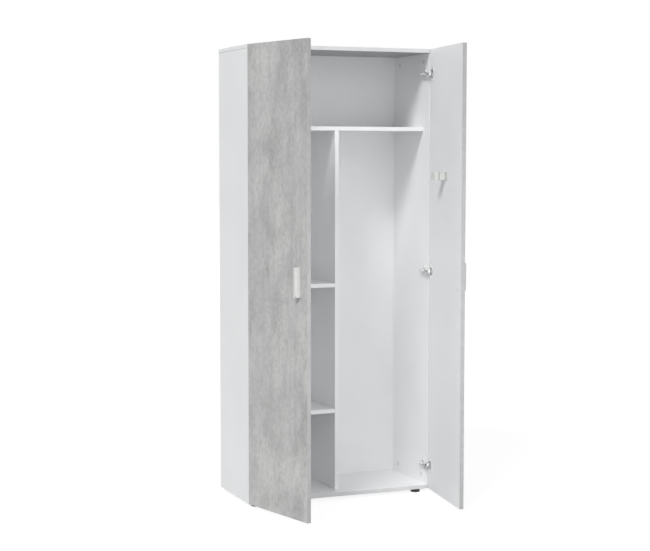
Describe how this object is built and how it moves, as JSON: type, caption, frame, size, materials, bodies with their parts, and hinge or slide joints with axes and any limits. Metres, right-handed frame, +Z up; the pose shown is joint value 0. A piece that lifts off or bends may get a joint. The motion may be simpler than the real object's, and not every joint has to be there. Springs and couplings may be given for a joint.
{
  "type": "tall storage cabinet",
  "caption": "Tall free-standing storage cabinet with hinged doors, a full-width top bay, a shelved left bay, a tall right bay for brooms and a broom clip inside a door.",
  "frame": {"origin": "centre of the underside of the carcass; the floor lies 14 mm below it", "axes": "+X to the right seen from the front, +Y to the back, +Z up"},
  "size_m": [0.7964, 0.745, 1.804],
  "materials": {
    "white_board": "white melamine-faced chipboard, fine satin",
    "back_board": "white-faced hardboard",
    "door_board": "chipboard, concrete-look outside and white inside",
    "door_edging": "concrete-grey edging strip",
    "white_plastic": "white moulded plastic, satin",
    "clip_plastic": "pale grey moulded plastic",
    "black_plastic": "black moulded plastic",
    "plated_steel": "nickel-plated pressed steel",
    "zinc_casting": "die-cast zinc",
    "beech": "fluted beech, plain"
  },
  "bodies": {
    "carcass": {"left_side_panel": "white_board", "right_side_panel": "white_board", "top_panel": "white_board", "bottom_panel": "white_board", "fixed_shelf": "white_board", "divider_panel": "white_board", "upper_left_shelf": "white_board", "lower_left_shelf": "white_board", "upper_back_panel": "back_board", "lower_back_panel": "back_board", "cam_locks": "zinc_casting", "cam_bolts": "plated_steel", "cam_cover_caps": "white_plastic", "wooden_dowels": "beech", "shelf_pins": "plated_steel", "front_left_glide": "black_plastic", "front_right_glide": "black_plastic", "rear_left_glide": "black_plastic", "rear_right_glide": "black_plastic", "glide_screws": "plated_steel", "left_hinge_arms": "plated_steel", "left_mounting_plates": "plated_steel", "left_plate_screws": "plated_steel", "left_arm_screws": "plated_steel", "left_arm_pins": "plated_steel", "right_hinge_arms": "plated_steel", "right_mounting_plates": "plated_steel", "right_plate_screws": "plated_steel", "right_arm_screws": "plated_steel", "right_arm_pins": "plated_steel"},
    "left_door": {"left_hinge_cups": "plated_steel", "left_cup_pins": "plated_steel", "left_cup_screws": "plated_steel", "left_handle_screws": "plated_steel", "left_door_panel": "door_board", "left_door_edging": "door_edging", "left_door_handle": "white_plastic"},
    "right_door": {"broom_clip": "clip_plastic", "clip_screws": "plated_steel", "right_hinge_cups": "plated_steel", "right_cup_pins": "plated_steel", "right_cup_screws": "plated_steel", "right_handle_screws": "plated_steel", "right_door_panel": "door_board", "right_door_edging": "door_edging", "right_door_handle": "white_plastic"},
    "left_carriers": {"left_carrier_links": "plated_steel"},
    "left_forks": {"left_fork_links": "plated_steel"},
    "right_carriers": {"right_carrier_links": "plated_steel"},
    "right_forks": {"right_fork_links": "plated_steel"}
  },
  "joints": [
    {"name": "left_carrier_swing", "type": "hinge", "parent": "carcass", "child": "left_carriers", "pos_m": [-0.37198, -0.18487, 0.89525], "axis": [0, 0, 1], "range_deg": [-31.46, 7.87]},
    {"name": "left_door_swing", "type": "hinge", "parent": "left_carriers", "child": "left_door", "pos_m": [-0.38542, -0.18843, 0.89525], "axis": [0, 0, -1], "range_deg": [-107.44, 26.9]},
    {"name": "left_fork_swing", "type": "hinge", "parent": "carcass", "child": "left_forks", "pos_m": [-0.36155, -0.18499, 0.89525], "axis": [0, 0, 1], "range_deg": [-34.8, 8.71]},
    {"name": "right_carrier_swing", "type": "hinge", "parent": "carcass", "child": "right_carriers", "pos_m": [0.37198, -0.18487, 0.89525], "axis": [0, 0, -1], "range_deg": [-33.87, 5.46]},
    {"name": "right_door_swing", "type": "hinge", "parent": "right_carriers", "child": "right_door", "pos_m": [0.38526, -0.18899, 0.89525], "axis": [0, 0, 1], "range_deg": [-115.7, 18.64]},
    {"name": "right_fork_swing", "type": "hinge", "parent": "carcass", "child": "right_forks", "pos_m": [0.36155, -0.18499, 0.89525], "axis": [0, 0, -1], "range_deg": [-37.48, 6.04]}
  ],
  "couplings": [
    {"joint": "left_door_swing", "follows": "left_carrier_swing", "ratio": 3.4155},
    {"joint": "left_fork_swing", "follows": "left_carrier_swing", "ratio": 1.1063},
    {"joint": "right_door_swing", "follows": "right_carrier_swing", "ratio": 3.4155},
    {"joint": "right_fork_swing", "follows": "right_carrier_swing", "ratio": 1.1063}
  ]
}
